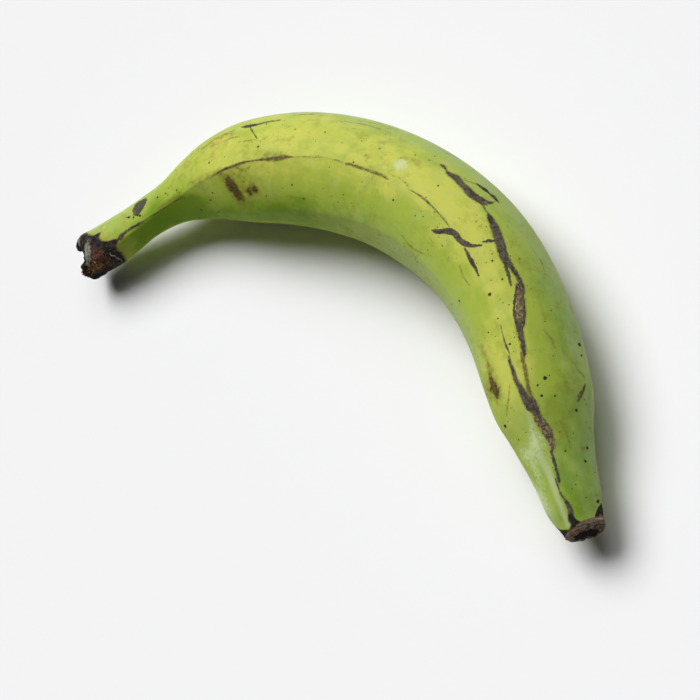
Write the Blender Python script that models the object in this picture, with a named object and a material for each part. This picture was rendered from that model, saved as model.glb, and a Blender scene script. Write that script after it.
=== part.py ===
"""A green plantain, picked whole and lying on its side.

The fruit grew as one piece, so it is one closed solid: the torn crown, the stalk, the ridged
body and the dry tip where the flower was. It is a loft of rings that stand square to a curved
axis. A ring starts as a circle, and its sides are flattened between the fruit's ridges.

Design values are in millimetres and degrees, and the mesh is in metres. A station is a place
along the axis, from 0 at the crown to 1 at the tip. A ring's angle is 0 on the top of the fruit,
as it lies, and grows towards the outside of its bend.
"""

import math

import bmesh
import bpy
import numpy as np

NODE = "plantain"
MM = 0.001

# The axis, seen from above with the fruit flat: along its chord, and out towards its bend.
AXIS = (
    (-124.5, -5.5),
    (-106.5, 26),
    (-88, 48.5),
    (-62, 65.5),
    (-32, 75),
    (0, 76.5),
    (30, 70),
    (56, 56),
    (78, 37.5),
    (99, 19),
    (123, -1),
)

# Radius over the ridges, by station: the stalk, the swelling body, and the taper to the tip.
RADIUS = (
    (0, 8.6),
    (0.02, 9.6),
    (0.06, 9.5),
    (0.1, 8.6),
    (0.14, 9.6),
    (0.175, 13.2),
    (0.215, 17.6),
    (0.25, 20.5),
    (0.29, 22.2),
    (0.33, 23.2),
    (0.4, 24),
    (0.5, 24.2),
    (0.6, 23.8),
    (0.7, 22.7),
    (0.76, 22.3),
    (0.8, 21.7),
    (0.84, 20.3),
    (0.88, 16.5),
    (0.92, 13.4),
    (0.96, 11.3),
    (1, 8.2),
)

# Each ridge's angle, by station, in the order in which they go round the fruit. The first two
# run together near the tip.
TOP_RIDGE = ((0, -38), (0.09, -36), (0.16, -23), (0.27, -9), (0.4, 1), (0.52, 6), (0.62, 2),
             (0.76, -4), (0.85, 0), (0.93, 1), (1, -9))
OUTER_TOP_RIDGE = ((0, 42), (0.25, 38), (0.4, 46), (0.54, 44), (0.61, 41), (0.7, 22), (0.79, 11),
                   (0.86, 4), (0.93, 3), (1, -7))
OUTER_RIDGE = ((0, 84), (0.3, 68), (0.5, 74), (0.7, 82), (1, 78))
OUTER_BASE_RIDGE = ((0, 145), (0.5, 152), (1, 150))
INNER_BASE_RIDGE = ((0, 208), (0.5, 232), (1, 226))
INNER_RIDGE = ((0, 262), (0.15, 275), (0.35, 302), (0.55, 318), (0.75, 316), (0.86, 306), (1, 288))
RIDGES = (
    TOP_RIDGE,
    OUTER_TOP_RIDGE,
    OUTER_RIDGE,
    OUTER_BASE_RIDGE,
    INNER_BASE_RIDGE,
    INNER_RIDGE,
)

# How far the sides are flattened between the ridges, from 0, round, to 1, straight.
FLATNESS = ((0, 0.5), (0.15, 0.5), (0.3, 0.32), (0.5, 0.26), (0.7, 0.34), (0.85, 0.5), (1, 0.5))
CORNER_POWER = 14

# The end faces, from their rims inwards: how far each loop stands out from the last ring of the
# skin, and its size as a share of that ring. The last pair is the point in the middle.
CROWN_FACE = ((1, 0.96), (1.8, 0.8), (1.2, 0.5), (0.8, 0))
TIP_FACE = ((0.6, 0.9), (2.2, 0.86), (3.2, 0.66), (2.8, 0.34), (2.4, 0))

# The crown was torn off at a slant, so it stands out further on the inside of the bend.
CROWN_SLANT = 4.2
TIP_SLANT = 0

# The crown's rim is uneven: waves round it, with their height and place, that fade down the stalk.
CROWN_WAVES = ((2, 0.05, 40), (3, 0.06, 200), (5, 0.03, 75))
CROWN_REACH = 0.05

# The fruit leans on its inner side, and lies on its belly, pressed flat a little where it rests.
LEAN = 6.1
YAW_LEAN = -0.3
CONTACT_DEPTH = 0.4

RINGS = 76
SIDES = 36
AXIS_SAMPLES = 2000

SKIN_COLOUR = (0.33, 0.47, 0.07, 1)
SKIN_ROUGHNESS = 0.42


def smooth(knots, values, at):
    """Values on a smooth curve through the given ones."""
    knots = np.asarray(knots, float)
    values = np.asarray(values, float)
    slopes = np.gradient(values, knots, axis=0)
    low = np.clip(np.searchsorted(knots, at, side="right") - 1, 0, len(knots) - 2)
    step = knots[low + 1] - knots[low]
    share = (at - knots[low]) / step
    if values.ndim == 2:
        step, share = step[:, None], share[:, None]
    square, cube = share**2, share**3
    return (
        values[low] * (2 * cube - 3 * square + 1)
        + values[low + 1] * (3 * square - 2 * cube)
        + slopes[low] * step * (cube - 2 * square + share)
        + slopes[low + 1] * step * (cube - square)
    )


def by_station(table, stations):
    """A design value given as (station, value) pairs, at any stations."""
    knots, values = zip(*table)
    return smooth(knots, values, stations)


def axis_frames(stations):
    """Points on the axis, and the directions along it and out of its bend."""
    corners = np.array(AXIS, float)
    hops = np.linalg.norm(np.diff(corners, axis=0), axis=1)
    knots = np.concatenate([[0], np.cumsum(hops)])
    fine = np.linspace(0, knots[-1], AXIS_SAMPLES)
    path = smooth(knots, corners, fine)
    lengths = np.concatenate([[0], np.cumsum(np.linalg.norm(np.diff(path, axis=0), axis=1))])
    share = lengths / lengths[-1]
    along = np.gradient(path, lengths, axis=0)
    points = np.stack([np.interp(stations, share, path[:, i]) for i in (0, 1)], axis=1)
    heading = np.stack([np.interp(stations, share, along[:, i]) for i in (0, 1)], axis=1)
    heading /= np.linalg.norm(heading, axis=1)[:, None]
    outward = np.stack([-heading[:, 1], heading[:, 0]], axis=1)
    return points, heading, outward


def flattened(stations, angles):
    """Radius of a ring as a share of its radius over the ridges."""
    corners = np.radians([by_station(ridge, stations) for ridge in RIDGES])
    following = np.roll(corners, -1, axis=0)
    following[-1] += 2 * math.pi
    facing = (corners + following) / 2
    reach = np.cos((following - corners) / 2)
    lean = np.cos(angles[None, None, :] - facing[:, :, None]) / reach[:, :, None]
    polygon = (np.maximum(lean, 0) ** CORNER_POWER).sum(axis=0) ** (-1 / CORNER_POWER)
    flat = by_station(FLATNESS, stations)[:, None]
    return 1 - flat * (1 - polygon)


def torn(stations, angles):
    """How far the uneven crown stands out or in, as a factor on the radius."""
    fade = np.clip(1 - stations / CROWN_REACH, 0, 1)[:, None] ** 2
    waves = 0
    for count, height, turn in CROWN_WAVES:
        waves = waves + height * np.sin(count * angles + math.radians(turn))
    return 1 + fade * waves


def rings(stations, angles):
    """Points of the rings at the given stations, in millimetres, with the fruit flat."""
    points, _, outward = axis_frames(stations)
    radius = by_station(RADIUS, stations)[:, None] * flattened(stations, angles) * torn(stations, angles)
    flat = points[:, None, :] + (radius * np.sin(angles))[:, :, None] * outward[:, None, :]
    return np.concatenate([flat, (radius * np.cos(angles))[:, :, None]], axis=2)


def end_face(ring, centre, direction, outward, face, slant):
    """The loops of an end face, and the point in its middle."""
    spokes = ring - centre
    outer = spokes @ outward / np.abs(spokes @ outward).max()
    loops = []
    for out, share in face:
        stand = out + slant * (1 - share * outer) / 2
        loops.append(centre + spokes * share + stand[:, None] * direction)
    return loops[:-1], loops[-1][0]


def fruit_rings():
    """All loops from end to end, and the middle points of both end faces."""
    stations = np.linspace(0, 1, RINGS)
    angles = np.linspace(0, 2 * math.pi, SIDES, endpoint=False)
    body = list(rings(stations, angles))
    points, heading, outward = (np.pad(row, ((0, 0), (0, 1))) for row in axis_frames(stations))
    crown, crown_middle = end_face(
        body[0], points[0], -heading[0], outward[0], CROWN_FACE, CROWN_SLANT
    )
    tip, tip_middle = end_face(body[-1], points[-1], heading[-1], outward[-1], TIP_FACE, TIP_SLANT)
    return crown[::-1] + body + tip, crown_middle, tip_middle


def lying(points):
    """The points as the fruit lies: leaning on its inner side, pressed flat where it rests."""
    lean, yaw = math.radians(LEAN), math.radians(YAW_LEAN)
    about_x = np.array(
        [[1, 0, 0], [0, math.cos(lean), -math.sin(lean)], [0, math.sin(lean), math.cos(lean)]]
    )
    about_y = np.array(
        [[math.cos(yaw), 0, math.sin(yaw)], [0, 1, 0], [-math.sin(yaw), 0, math.cos(yaw)]]
    )
    turned = points @ (about_y @ about_x).T
    turned[:, 2] -= turned[:, 2].min() + CONTACT_DEPTH
    turned[:, 2] = np.maximum(turned[:, 2], 0)
    middle = (turned.min(axis=0) + turned.max(axis=0)) / 2
    turned[:, :2] -= middle[:2]
    return turned * MM


def skin_mesh():
    """The closed skin as a mesh in metres."""
    loops, crown_middle, tip_middle = fruit_rings()
    count = len(loops)
    points = lying(np.concatenate([*loops, [crown_middle], [tip_middle]]))
    shell = bmesh.new()
    verts = [shell.verts.new(point) for point in points]
    edges = []
    for ring in range(count):
        row = verts[ring * SIDES : (ring + 1) * SIDES]
        edges.append([shell.edges.new((row[i - 1], row[i])) for i in range(SIDES)])
    for near, far in zip(edges, edges[1:]):
        bmesh.ops.bridge_loops(shell, edges=near + far)
    for row, middle in ((edges[0], verts[-2]), (edges[-1], verts[-1])):
        for edge in row:
            shell.faces.new((*edge.verts, middle))
    bmesh.ops.triangulate(shell, faces=shell.faces[:])
    bmesh.ops.recalc_face_normals(shell, faces=shell.faces[:])
    mesh = bpy.data.meshes.new(NODE)
    shell.to_mesh(mesh)
    shell.free()
    mesh.shade_smooth()
    return mesh


def skin_material():
    """Waxy green skin."""
    material = bpy.data.materials.new("green_skin")
    material.use_nodes = True
    shader = material.node_tree.nodes["Principled BSDF"]
    shader.inputs["Base Color"].default_value = SKIN_COLOUR
    shader.inputs["Roughness"].default_value = SKIN_ROUGHNESS
    shader.inputs["Metallic"].default_value = 0
    return material


def main():
    for leftover in list(bpy.data.objects):
        bpy.data.objects.remove(leftover, do_unlink=True)
    mesh = skin_mesh()
    mesh.materials.append(skin_material())
    bpy.context.scene.collection.objects.link(bpy.data.objects.new(NODE, mesh))


main()
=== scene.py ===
"""Looks of the green plantain: waxy ridged peel, scars, specks, torn crown and dry flower tip.

The CAD model gives the fruit's size and place. The same loft is made again here with many more
rings, and gets what the CAD leaves out: uneven skin, corky scars, the torn tissue of the crown
and the dry tip. Lengths are in millimetres and angles in degrees until a mesh is made. A place on
the skin is given as millimetres along the axis from the crown, and degrees round it, with 0 on
the top of the fruit as it lies, growing towards the outside of its bend.
"""

import math
import random
from functools import reduce

import bmesh
import bpy
import numpy as np
from mathutils import Matrix, Vector, noise


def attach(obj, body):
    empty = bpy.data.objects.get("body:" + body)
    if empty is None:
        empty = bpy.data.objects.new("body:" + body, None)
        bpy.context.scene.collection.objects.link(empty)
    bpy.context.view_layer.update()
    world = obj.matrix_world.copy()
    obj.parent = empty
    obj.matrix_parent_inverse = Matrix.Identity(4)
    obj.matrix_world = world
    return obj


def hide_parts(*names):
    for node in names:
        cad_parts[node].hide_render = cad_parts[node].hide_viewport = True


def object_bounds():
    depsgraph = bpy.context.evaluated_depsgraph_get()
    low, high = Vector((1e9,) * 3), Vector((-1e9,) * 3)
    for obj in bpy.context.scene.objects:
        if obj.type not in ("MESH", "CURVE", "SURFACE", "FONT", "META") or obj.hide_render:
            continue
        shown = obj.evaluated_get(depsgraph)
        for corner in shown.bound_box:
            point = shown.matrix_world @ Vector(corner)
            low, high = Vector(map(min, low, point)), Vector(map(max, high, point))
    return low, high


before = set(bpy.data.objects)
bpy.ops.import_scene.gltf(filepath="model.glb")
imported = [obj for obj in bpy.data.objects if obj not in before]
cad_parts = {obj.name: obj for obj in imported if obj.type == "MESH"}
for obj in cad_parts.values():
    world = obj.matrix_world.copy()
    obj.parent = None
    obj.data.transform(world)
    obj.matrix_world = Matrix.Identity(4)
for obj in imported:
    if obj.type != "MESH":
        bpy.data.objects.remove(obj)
cad_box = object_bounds()

NODE = "plantain"
BODY = "root"
MM = 0.001

# ---- shape, as in the CAD model

AXIS = (
    (-124.5, -5.5), (-106.5, 26), (-88, 48.5), (-62, 65.5), (-32, 75), (0, 76.5), (30, 70), (56, 56),
    (78, 37.5), (99, 19), (123, -1),
)
# Radius, ridges and flatness are given by share of the length.
RADIUS = (
    (0, 8.6), (0.02, 9.6), (0.06, 9.5), (0.1, 8.6), (0.14, 9.6), (0.175, 13.2), (0.215, 17.6),
    (0.25, 20.5), (0.29, 22.2), (0.33, 23.2), (0.4, 24), (0.5, 24.2), (0.6, 23.8), (0.7, 22.7),
    (0.76, 22.3), (0.8, 21.7), (0.84, 20.3), (0.88, 16.5), (0.92, 13.4), (0.96, 11.3), (1, 8.2),
)
# Where each ridge runs, in degrees round.
TOP_RIDGE = (
    (0, -38), (0.09, -36), (0.16, -23), (0.27, -9), (0.4, 1), (0.52, 6), (0.62, 2), (0.76, -4),
    (0.85, 0), (0.93, 1), (1, -9),
)
OUTER_TOP_RIDGE = (
    (0, 42), (0.25, 38), (0.4, 46), (0.54, 44), (0.61, 41), (0.7, 22), (0.79, 11), (0.86, 4), (0.93, 3),
    (1, -7),
)
OUTER_RIDGE = ((0, 84), (0.3, 68), (0.5, 74), (0.7, 82), (1, 78))
OUTER_BASE_RIDGE = ((0, 145), (0.5, 152), (1, 150))
INNER_BASE_RIDGE = ((0, 208), (0.5, 232), (1, 226))
INNER_RIDGE = ((0, 262), (0.15, 275), (0.35, 302), (0.55, 318), (0.75, 316), (0.86, 306), (1, 288))
RIDGES = (
    TOP_RIDGE, OUTER_TOP_RIDGE, OUTER_RIDGE, OUTER_BASE_RIDGE, INNER_BASE_RIDGE, INNER_RIDGE
)
# How flat the sides between the ridges are: 0 is round, and 1 is a polygon.
FLATNESS = ((0, 0.5), (0.15, 0.5), (0.3, 0.32), (0.5, 0.26), (0.7, 0.34), (0.85, 0.5), (1, 0.5))
# The higher, the sharper the ridges.
CORNER_POWER = 14
# How much further in the torn end lies on the outer side of the bend.
CROWN_SLANT = 4.2
# Waves of the torn rim: how many go round, their height as a share of the radius, and their turn.
CROWN_WAVES = ((2, 0.05, 40), (3, 0.06, 200), (5, 0.03, 75))
# The share of the length that they reach.
CROWN_REACH = 0.05
# How the fruit leans as it lies.
LEAN = 6.1
YAW_LEAN = -0.3
# From the leaning fruit's own origin to the CAD model's.
RESTING_SHIFT = (1.7, -43.12, 14.56)
AXIS_SAMPLES = 2000

# ---- the ends, in more detail

# From the rim to the middle of the torn crown: how far the face stands out, and its size as a
# share of the first ring.
CROWN_FACE = ((0, 1), (4.2, 0.99), (5, 0.93), (5, 0.8), (3.6, 0.66), (4.2, 0.4), (3.4, 0))
# How much further in the torn edge lies than the CAD model's, by degrees round.
CROWN_SET_BACK = (
    (-180, 1.8), (-110, 1.2), (-70, 1), (-48, 1.4), (-34, 3), (-18, 4.2), (0, 4.8), (14, 4.6),
    (24, 2.6), (38, 1.4), (75, 1.2), (120, 1.6), (180, 1.8),
)
CROWN_BLEND = 21
# Where the peel ends at the tip, under the dry cap, and how much further in than the CAD model's
# that is, by degrees round.
TIP_FACE = ((0, 1), (0.2, 0.95), (0.2, 0.7), (0.1, 0.4), (0.1, 0))
TIP_SET_BACK = (
    (-180, 1), (-100, 0.6), (-60, 0.3), (-35, 0.6), (-15, 1.6), (22, 2.2), (60, 2.2), (90, 1.6),
    (180, 1),
)
TIP_BLEND = 13
# The dry cap of the flower tip, from inside the peel, round its rim, to its sunken middle.
CAP_FACE = (
    (-5, 0.5), (-4.4, 0.9), (-2.6, 1.02), (-1.4, 1.05), (-0.5, 1.02), (0.4, 0.95), (1.1, 0.83),
    (1.4, 0.7), (1.1, 0.58), (0.6, 0.48), (0.9, 0.3), (0.5, 0.14), (0.7, 0),
)
# Where the peel's edge meets the cap.
CAP_EDGE_AT = -1.7
CAP_LOOPS = 70
CAP_SIDES = 150
# Heights of the cap's relief, in mm: the creases push it ahead, then out.
CAP_LOBES = 0.7
CAP_CREASES = (0.4, 0.45)
CAP_FOLDS = 0.4

# ---- fineness of the mesh

RINGS = 420
SIDES = 200
FACE_LOOPS = 30
# How much closer the points of a ring stand on the top of the fruit.
TOP_CROWDING = 0.3
# Rings stand closer near the ends: how many times closer, less one, and over how many millimetres.
CROWN_CROWDING = (1.9, 22)
TIP_CROWDING = (1.2, 25)
# About that of both ends.
RIM_RADIUS = 9
# Crests along the ridges: how high, by millimetres along, and how far round they reach.
CRESTS = (
    (TOP_RIDGE, ((0, 0.1), (20, 0.5), (40, 0.8), (75, 0.7), (110, 0.35), (160, 0.15), (240, 0.3),
                 (262, 0.7), (309, 0.8))),
    (OUTER_RIDGE, ((0, 0), (40, 0.2), (260, 0.2), (309, 0))),
    (OUTER_BASE_RIDGE, ((0, 0), (40, 0.3), (270, 0.3), (309, 0))),
    (INNER_BASE_RIDGE, ((0, 0), (40, 0.3), (270, 0.3), (309, 0))),
    (INNER_RIDGE, ((0, 0), (40, 0.25), (260, 0.25), (309, 0))),
)
CREST_REACH = 2.6
# Heights of the skin's relief, in mm: of the whole skin, of scars, and of the dead ends.
SWELL = 0.16
RIPPLE = 0.06
SCAR_RISE = 0.05
CRUST = 0.12
DEAD_SINK = 0.25
TIP_SINK = 0.15
TORN_LUMPS = 0.5
TORN_CRUST = 0.4
TORN_CRUMBS = 0.2
# The pitch of the points along a mark, how far round a mark its field reaches, and how far from
# its line a skin point may be to count.
LINE_STEP = 0.5
LINE_MARGIN = 1
MARK_WINDOW = 6
STRAND_STEP = 0.25
STRAND_SIDES = 7

# ---- marks on the skin

# A line mark is a row of (mm along, degrees round, width in mm).
HEAVY_SCARS = (
    ((164, 46, 0.8), (165, 46, 1.8), (166, 45, 0.7)),
    ((167.5, 43, 0.8), (169, 43, 2), (171, 44, 3.3), (174, 43, 2.4), (177, 42, 2.9), (181, 42, 3.4),
     (184, 43, 2.9), (186, 45, 1)),
    ((190, 40, 0.9), (191.5, 39, 2.4), (195, 37, 3.2), (199, 34, 3.5), (203, 31, 3.5), (206, 29, 3.2),
     (209, 29, 3), (211, 30, 2.1)),
    ((182.5, 59, 0.6), (183.5, 60, 2.1), (185, 60, 1.5), (186.5, 60, 0.5)),
    ((209, 30, 2.1), (212, 31, 1.9), (215, 32, 1.6), (218, 32, 1.7), (221, 30, 1.9)),
    ((219, 29, 1), (223, 28, 0.9), (228, 24, 1), (233, 18, 1.3)),
    ((232, 15, 2.4), (236, 14, 2.1), (240, 13, 1.8), (244, 11, 1.2)),
    ((243, -4, 0.7), (247, -4, 1.1), (252, -4, 1.6), (256, -2, 2), (259, -1, 3), (262, 2, 4.4),
     (265, 5, 2.6), (267, 6, 0.8)),
)
BRANCH_SCARS = (
    ((183, 46, 1.6), (186, 50, 1.4), (186, 56, 0.4)),
    ((198, 20, 0.5), (198.5, 23, 1.4), (199.5, 28, 1.2)),
    ((208, 28, 1.5), (211, 25, 1.3), (214, 24, 1.5), (217, 22, 0.8)),
    ((196, 2, 0.5), (199, 1, 1.2), (202, 0, 2), (205, 0, 1.2), (208, -1, 0.3)),
    ((290, -4, 0.5), (293, -5, 0.6), (296, -5, 0.8), (298.5, -2, 1.2), (301, -1, 1.7), (303, -4, 1.9),
     (305, -9, 2.3)),
)
CORKY_PATCHES = (
    ((218, 28, 1.2), (222, 25, 2.6), (227, 20, 3), (232, 15, 2)),
    ((264, 4, 2.2), (268, 5, 3.5), (272, 9, 3.7), (276, 10, 2.6), (280, 7, 0.8)),
)
BROWN_LINES = (
    ((243, 9, 1.1), (249, 8, 1.5), (254, 6, 1.3), (258, 5, 1.6), (262, 6, 1.4)),
    ((71, -15, 0.4), (74, -13, 0.7), (78, -11, 0.9), (82, -10, 1.2), (86, -8, 0.9), (90, -7, 0.8),
     (95, -6, 0.9), (99, -6, 1.6), (103, -5, 2), (107, -3, 1.4), (109, -3, 0.5)),
    ((185.5, 42, 0.9), (187.5, 41, 0.8), (190, 40, 1)), ((90, 41, 1.2), (93, 42, 1.7), (98, 43, 1)),
    ((134, 2, 0.9), (142, 3, 1.3), (148, 4, 1.3), (152, 4, 0.7)),
    ((60, 104, 0.5), (72, 101, 1.3), (84, 99, 1.6), (95, 99, 0.7)),
    ((128, 116, 0.4), (140, 113, 1.3), (150, 112, 0.5)),
    ((205, 112, 0.6), (218, 108, 1.7), (232, 107, 1.2), (240, 108, 0.5)),
    ((150, 231, 0.5), (170, 233, 1.4), (192, 232, 0.9), (205, 231, 0.4)),
    ((130, 60, 0.3), (133, 64, 0.5)), ((257, 5, 0.6), (260, 3, 0.6)),
)
DARK_LINES = (
    ((181.5, -9, 1.3), (182.5, -8, 1.8), (184.5, -4, 1.8), (186.5, 1, 2.7), (189, 3, 2.2),
     (193, 3, 2.3), (195, 5, 2.3), (197, 9, 1.4), (198.5, 15, 0.8)),
    ((219, 26, 1), (222, 21, 0.8), (228, 14, 1), (233, 13, 1.2)),
    ((177, 56, 0.6), (179, 57, 1.7), (180.3, 58, 2.5), (182, 59, 0.6)),
    ((102, 54, 0.3), (106, 56, 0.7), (109, 57, 0.3)),
    ((108, 134, 0.5), (113, 130, 1.8), (119, 129, 2.3), (125, 132, 0.8)),
    ((246, 130, 0.5), (252, 125, 1.6), (257, 124, 0.6)),
    ((66, 176, 0.5), (73, 179, 1.6), (79, 178, 0.7)),
    ((83.5, 42, 1.4), (85, 41, 2.2), (88, 40, 2.1), (90, 40, 1.2), (91.5, 41, 0.4)),
    ((19, -31, 1.8), (21.5, -28, 1.3), (25, -28, 0.9), (28, -30, 0.9), (31, -31, 0.5)),
    ((280, 5, 0.8), (284, 4, 1), (288, 2, 0.9), (291, 0, 0.8)),
)
FINE_DARK_LINES = (
    ((162, 6, 0.3), (167, 7, 0.7), (171, 7, 0.9), (176, 6, 0.7), (181, 5, 0.6), (185, 4, 0.5)),
    ((156, 68, 0.3), (160, 69, 0.5), (163, 73, 0.3)),
    ((230, -2, 0.3), (235, -3, 0.5), (238, -3, 1), (241, -2, 0.5), (245, -4, 0.4)),
    ((273, 9, 0.4), (275, 12, 0.7), (276, 15, 0.4)),
    ((266, -64, 0.4), (268, -64, 0.6), (271, -57, 0.3)),
    ((86.5, 39, 0.6), (87.5, 34, 0.9), (89, 28, 0.5), (90, 24, 0.5), (91.5, 19, 0.6)),
    ((32, -30, 0.3), (38, -29, 0.5), (41, -28, 0.6), (45, -27, 0.3)),
    ((47, -26, 0.3), (50, -26, 0.6), (53, -25, 0.3)),
    ((74, -13, 0.3), (78, -11.5, 0.5), (82, -10, 0.7), (86, -8, 0.5), (92, -7, 0.4), (98, -6, 0.5),
     (104, -4, 0.3)),
    ((174, 49, 0.3), (176, 53, 0.5), (178, 56, 0.4)),
    ((258, 73, 0.5), (260, 69, 1.3), (262, 64, 1.8), (263.5, 61, 1)),
)
OLIVE_LINES = (
    ((106, -4, 0.4), (116, -1, 0.4), (127, 2, 0.5), (134, 1, 0.4)),
    ((252, -13, 0.4), (257, -22, 0.7), (261, -33, 0.5)),
    ((39, -24, 0.8), (44, -22, 1.6), (48, -21, 1.2), (51, -21, 0.5)),
    ((62, 30, 0.4), (68, 34, 1), (74, 38, 1.2), (80, 40, 0.8)),
    ((75, 26, 0.4), (79, 27, 1), (83, 26, 0.5)), ((205, 62, 0.3), (211, 66, 0.9), (216, 64, 0.4)),
    ((170, -34, 0.3), (176, -37, 0.7), (184, -33, 0.4)),
    ((200, -12, 0.3), (205, -15, 0.8), (209, -14, 0.4)),
    ((120, 48, 0.4), (128, 52, 0.9), (137, 53, 0.5)), ((40, 138, 0.4), (50, 145, 1), (58, 147, 0.5)),
    ((88, 151, 0.4), (104, 147, 1.2), (120, 149, 0.6)),
    ((170, 137, 0.4), (186, 141, 1.1), (199, 139, 0.5)),
    ((262, 160, 0.4), (272, 157, 1), (280, 159, 0.4)), ((236, 38, 0.3), (240, 44, 0.8), (243, 45, 0.4)),
    ((270, 30, 0.3), (276, 36, 0.7), (280, 36, 0.4)), ((84, 18, 0.4), (89, 17, 0.7), (91, 17, 0.3)),
    ((84, -12, 0.5), (85.5, -15, 1), (87.5, -16, 1), (89.5, -13, 0.5)),
    ((72, 40, 0.4), (79, 35, 0.8), (80, 34, 0.3)), ((60, 39, 0.4), (64, 38, 0.6), (65, 38, 0.3)),
    ((69, 25, 0.3), (71, 27, 0.6), (74, 29, 0.4)), ((153, 9, 0.3), (158, 10, 0.5), (161, 8, 0.3)),
    ((252, 67, 0.4), (254, 71, 1), (255, 74, 0.4)),
)
# Pale strips beside the ridge of the tip and along its inner edge: partly wax, and partly a
# painted highlight along the ridge and a painted sheen along the edge.
WAX_AND_HIGHLIGHT_LINES = (
    ((264, -4, 0.8), (269, -7, 1.8), (274, -11, 2.6), (280, -14, 3), (289, -13, 2.8), (294, -15, 2.4),
     (297, -16, 2.2), (301, -18, 2.2), (306, -24, 2)),
    ((266, -72, 2), (278, -66, 3.2), (288, -64, 3.4), (297, -70, 2.6)),
)
# Pale dry strands in the torn flesh of the crown.
STRANDS = (
    ((6.5, 24, 1), (5, 14, 2.2), (4.4, 5, 2.8), (3.8, -8, 2.8), (3, -22, 2.2), (1.2, -36, 1)),
    ((6, 60, 1), (4, 56, 2.4), (2.6, 48, 2.6), (2, 40, 1)),
)
LINE_GROUPS = {
    "heavy_scars": HEAVY_SCARS, "branch_scars": BRANCH_SCARS, "corky_patches": CORKY_PATCHES,
    "brown_lines": BROWN_LINES, "dark_lines": DARK_LINES, "fine_dark_lines": FINE_DARK_LINES,
    "olive_lines": OLIVE_LINES, "wax_and_highlight_lines": WAX_AND_HIGHLIGHT_LINES, "strands": STRANDS,
}
# Groups that stand out from the skin.
RAISED_GROUPS = ("heavy_scars", "branch_scars", "corky_patches", "dark_lines")

# Dots are (mm along, degrees round, radius in mm).
DOTS = (
    (170, 25, 0.35), (217, 0, 0.65), (206, 17, 0.45), (214, 17, 0.4), (174, -6, 0.3), (171, -10, 0.3),
    (227, -2, 0.35), (211, -33, 0.4), (242, 78, 0.8), (246.5, 77, 0.45), (254, 25, 0.75),
    (260, 16, 0.5), (256, 15, 0.4), (261, 31, 0.4), (264, -44, 0.65), (281, 26, 0.4), (267, 57, 0.6),
    (281, 68, 0.55), (286, 59, 0.55), (273, 102, 0.5), (238, 1, 0.45), (230, -17, 0.3), (136, 5, 0.35),
    (142, 28, 0.35), (170, 9, 0.3), (110, -30, 0.35), (96, -44, 0.35), (116, -42, 0.4), (159, -10, 0.4),
    (93, 8, 0.5), (41, 8, 0.45), (45, 3, 0.35), (46, -5, 0.3), (51, -9, 0.35), (52, -17, 0.3),
    (26, 6, 0.5), (28, -4, 0.5), (31, -12, 0.5), (70, 3, 0.4), (68, -36, 0.4), (65, -46, 0.4),
    (66, -67, 0.45), (57, -62, 0.4), (301, 70, 0.7), (84, 128, 0.5), (99, 166, 0.6), (131, 188, 0.4),
    (146, 134, 0.5), (163, 157, 0.45), (191, 126, 0.6), (212, 186, 0.5), (222, 144, 0.5),
    (239, 152, 0.7), (268, 140, 0.5),
)

# Soft patches are (mm along, degrees round, reach along in mm, reach round in mm, amount).
BRUISES = (
    (78, -25, 2, 2.2, 0.8), (79.5, -31, 2.6, 3, 1), (80.5, -38, 2, 2.2, 0.85),
    (82, -46, 1.9, 2.2, 0.85), (87.5, -40, 1.5, 1.6, 0.85), (90.5, -35, 2, 2, 1),
    (83, -35, 8, 10, 0.34), (54, 16, 20, 14, 0.2), (76, 32, 9, 6, 0.25), (96, -36, 10, 7, 0.16),
    (247, -33, 2, 1.6, 0.7), (251, -33, 2.8, 1.8, 1), (250, -35, 6, 4.4, 0.42), (237, -31, 5, 1.6, 0.5),
    (243, -30, 3, 1.6, 0.4), (250, -45, 4, 3, 0.3), (225, -42, 9, 4, 0.2), (281, 62, 1.6, 1.6, 0.6),
    (257, 54, 5, 6, 0.3), (100, -2, 6, 1.6, 0.6), (181, 112, 6, 5, 0.35), (182, 111, 2, 2.2, 0.7),
    (66, 134, 5, 4, 0.4), (72, -14, 10, 1.6, 0.4),
)
PALE_PATCHES = (
    (153, 22, 3, 3, 1), (274, -14, 3, 3, 0.55), (278, -22, 4, 3, 0.5), (284, -36, 5, 2.4, 0.5),
    (276, -34, 2.4, 2.4, 0.4), (276, -46, 6, 3, 0.45), (276, 0, 3, 1.6, 0.4), (293, -62, 8, 4, 0.8),
    (270, -9, 4, 2, 0.35),
)
GREY_PATCHES = (
    (34.5, 25, 1.7, 1.7, 1), (32, 25, 2, 1.6, 1), (31.5, 17, 2.2, 2.2, 1), (30.5, 8, 1.8, 1.8, 0.9),
    (30, 0, 1.2, 1, 0.6), (26.5, 6, 0.9, 0.8, 0.6),
)
# Patches of pale wax bloom that also paint a sheen: the grazing reflection along the outer edge and the
# inner edge of the fruit.
BLOOMS_AND_SHEEN = (
    (175, -56, 34, 9, 0.6), (222, -48, 22, 6, 0.7), (150, 78, 60, 12, 0.8), (230, 92, 45, 12, 0.9),
    (290, 80, 24, 8, 0.6), (22, 52, 16, 5, 0.7), (10, 40, 8, 5, 0.5), (278, -18, 20, 9, 0.4),
    (298, -66, 8, 4, 0.8),
)
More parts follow.
